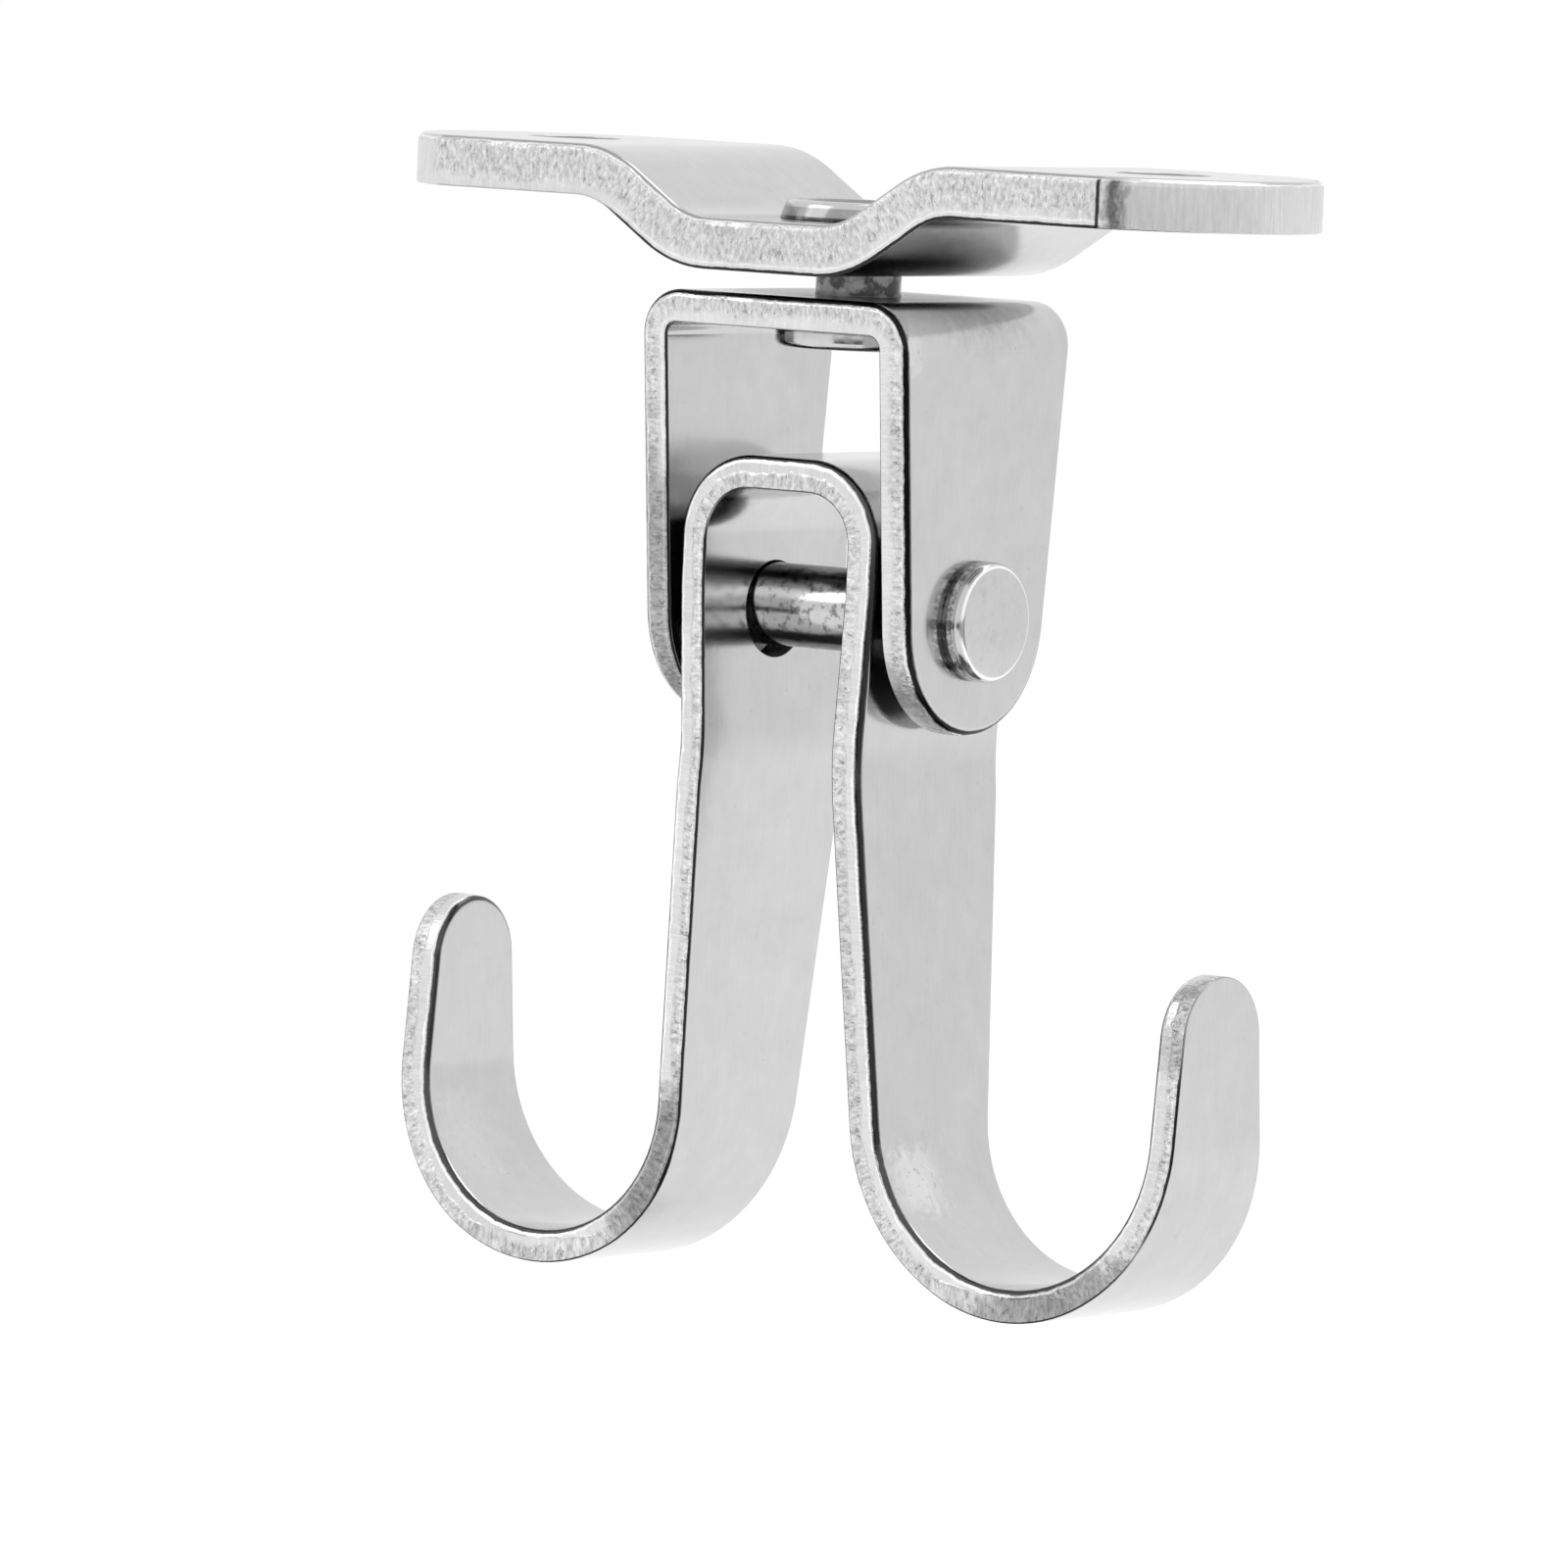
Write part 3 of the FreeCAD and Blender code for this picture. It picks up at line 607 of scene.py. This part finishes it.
dress(rivet, turned_material(
    "rivet_steel_look", turned_about_x=False, worn=0.10, gritty=[],
    grease_and_shade=[
        (VALLEY_TOP - 0.1, VALLEY_TOP + 0.16, 0.9),
        (VALLEY_TOP + 0.1, VALLEY_TOP + 0.6, 0.45),
        (WEB_TOP, WEB_TOP + SWIVEL_GAP, 1.0),
        (RIVET_SEAT - 0.15, RIVET_SEAT, 0.6),
    ],
    shaded_dish=rivet_lip - RIVET_ROUND))
dress(pin, turned_material(
    "pin_steel_look", turned_about_x=True, worn=0.06,
    gritty=[(HEAD_SEAT + 0.25, HEAD_SEAT + 0.6)],
    grease_and_shade=[(HEAD_SEAT - 0.1, HEAD_SEAT + 0.28, 1.0)],
    shaded_shank=HEAD_SEAT - STRIP))


# Floor, world, cards and lamps
def make_floor():
    """A pale sheet below the hanging hook, white to the camera and to the steel."""
    bpy.ops.mesh.primitive_plane_add(size=40, location=(0, 0, FLOOR_HEIGHT))
    floor = bpy.context.object
    floor.name = "studio_floor"
    material = bpy.data.materials.new("pale_floor")
    material.use_nodes = True
    nodes, links = material.node_tree.nodes, material.node_tree.links
    nodes.clear()
    out = nodes.new("ShaderNodeOutputMaterial")
    diffuse = nodes.new("ShaderNodeBsdfDiffuse")
    diffuse.inputs["Color"].default_value = (0.86, 0.86, 0.86, 1)
    glow = nodes.new("ShaderNodeEmission")
    path = nodes.new("ShaderNodeLightPath")
    seen = nodes.new("ShaderNodeMath")
    seen.operation = "MAXIMUM"
    links.new(path.outputs["Is Camera Ray"], seen.inputs[0])
    links.new(path.outputs["Is Glossy Ray"], seen.inputs[1])
    lift = nodes.new("ShaderNodeMath")
    lift.operation = "MULTIPLY"
    links.new(seen.outputs[0], lift.inputs[0])
    lift.inputs[1].default_value = 0.14
    links.new(lift.outputs[0], glow.inputs["Strength"])
    both = nodes.new("ShaderNodeAddShader")
    links.new(diffuse.outputs[0], both.inputs[0])
    links.new(glow.outputs[0], both.inputs[1])
    links.new(both.outputs[0], out.inputs["Surface"])
    floor.data.materials.append(material)


def make_world():
    """White all round."""
    world = bpy.data.worlds.new("studio")
    bpy.context.scene.world = world
    world.use_nodes = True
    room = world.node_tree.nodes["Background"]
    room.inputs["Color"].default_value = (1, 1, 1, 1)
    room.inputs["Strength"].default_value = 1.0


def dark_stage(card, level):
    """A card that only reflections see, of one grey."""
    card.visible_camera = card.visible_diffuse = card.visible_shadow = False
    material = bpy.data.materials.new(card.name)
    material.use_nodes = True
    tree = material.node_tree
    tree.nodes.clear()
    out = tree.nodes.new("ShaderNodeOutputMaterial")
    glow = tree.nodes.new("ShaderNodeEmission")
    glow.inputs["Color"].default_value = (level, level, level, 1)
    tree.links.new(glow.outputs[0], out.inputs["Surface"])
    card.data.materials.append(material)


def make_card(name, azimuths, distance, top, level):
    """An upright dark card between two azimuths, in degrees from +X."""
    first, last = azimuths
    a = math.radians((first + last) / 2)
    width = 2 * distance * math.tan(math.radians(last - first) / 2)
    place = Vector((math.cos(a), math.sin(a), 0)) * distance
    place.z = (CARD_FOOT + top) / 2
    bpy.ops.mesh.primitive_plane_add(size=1, location=place)
    card = bpy.context.object
    card.name = name
    card.scale = (width, top - CARD_FOOT, 1)
    card.rotation_mode = "QUATERNION"
    card.rotation_quaternion = Vector((-place.x, -place.y, 0)).to_track_quat("Z", "Y")
    dark_stage(card, level)


def make_mat(name, radius, level):
    """A round dark mat on the floor below the hook."""
    bpy.ops.mesh.primitive_circle_add(
        vertices=48, radius=radius, fill_type="NGON", location=(0, 0, CARD_FOOT))
    mat = bpy.context.object
    mat.name = name
    dark_stage(mat, level)


def make_lamp(name, place, size, brightness):
    """A softbox as bright as given, where 1 is white."""
    data = bpy.data.lights.new(name, "AREA")
    data.shape = "RECTANGLE"
    data.size, data.size_y = size
    data.energy = brightness * math.pi * size[0] * size[1]
    lamp = bpy.data.objects.new(name, data)
    lamp.location = place
    lamp.rotation_mode = "QUATERNION"
    lamp.rotation_quaternion = (Vector(LAMP_AIM) - Vector(place)).to_track_quat("-Z", "Y")
    bpy.context.scene.collection.objects.link(lamp)


make_floor()
make_world()
make_card("camera_side_card", (-85, -42), distance=0.35, top=-0.033, level=0.03)
make_card("right_side_card", (-40, 28), distance=0.20, top=-0.020, level=0.35)
make_mat("floor_mat", radius=0.05, level=0.12)
make_lamp("key_softbox", (-0.45, -0.55, 0.45), (0.5, 0.5), brightness=1.05)
make_lamp("top_softbox", (0.1, 0.25, 0.6), (0.4, 0.4), brightness=1.4)


# Camera, at the photograph's viewing angle
def make_camera(azimuth, elevation, roll, distance, focal, aim):
    """Azimuth 0 looks along +Y. The focal length is in pixels, distance and aim in millimetres."""
    a, e, r = (math.radians(x) for x in (azimuth, elevation, roll))
    back = Vector((math.cos(e) * math.sin(a), -math.cos(e) * math.cos(a), math.sin(e)))
    level = Vector((math.cos(a), math.sin(a), 0))
    upright = level.cross(-back)
    right = level * math.cos(r) + upright * math.sin(r)
    up = upright * math.cos(r) - level * math.sin(r)
    data = bpy.data.cameras.new("photo_camera")
    data.sensor_width = SENSOR_WIDTH
    data.lens = focal / FRAME_PIXELS * SENSOR_WIDTH
    data.clip_start, data.clip_end = 0.01, 100
    camera = bpy.data.objects.new("photo_camera", data)
    bpy.context.scene.collection.objects.link(camera)
    turn = Matrix((right, up, back)).transposed()
    camera.matrix_world = Matrix.Translation((Vector(aim) + back * distance) * MM) @ turn.to_4x4()
    bpy.context.scene.camera = camera


make_camera(
    azimuth=37.015, elevation=4.382, roll=2.466, distance=591.65, focal=12880.4,
    aim=(-3.093, 0, -29.626))
bpy.context.scene.view_settings.view_transform = "Standard"
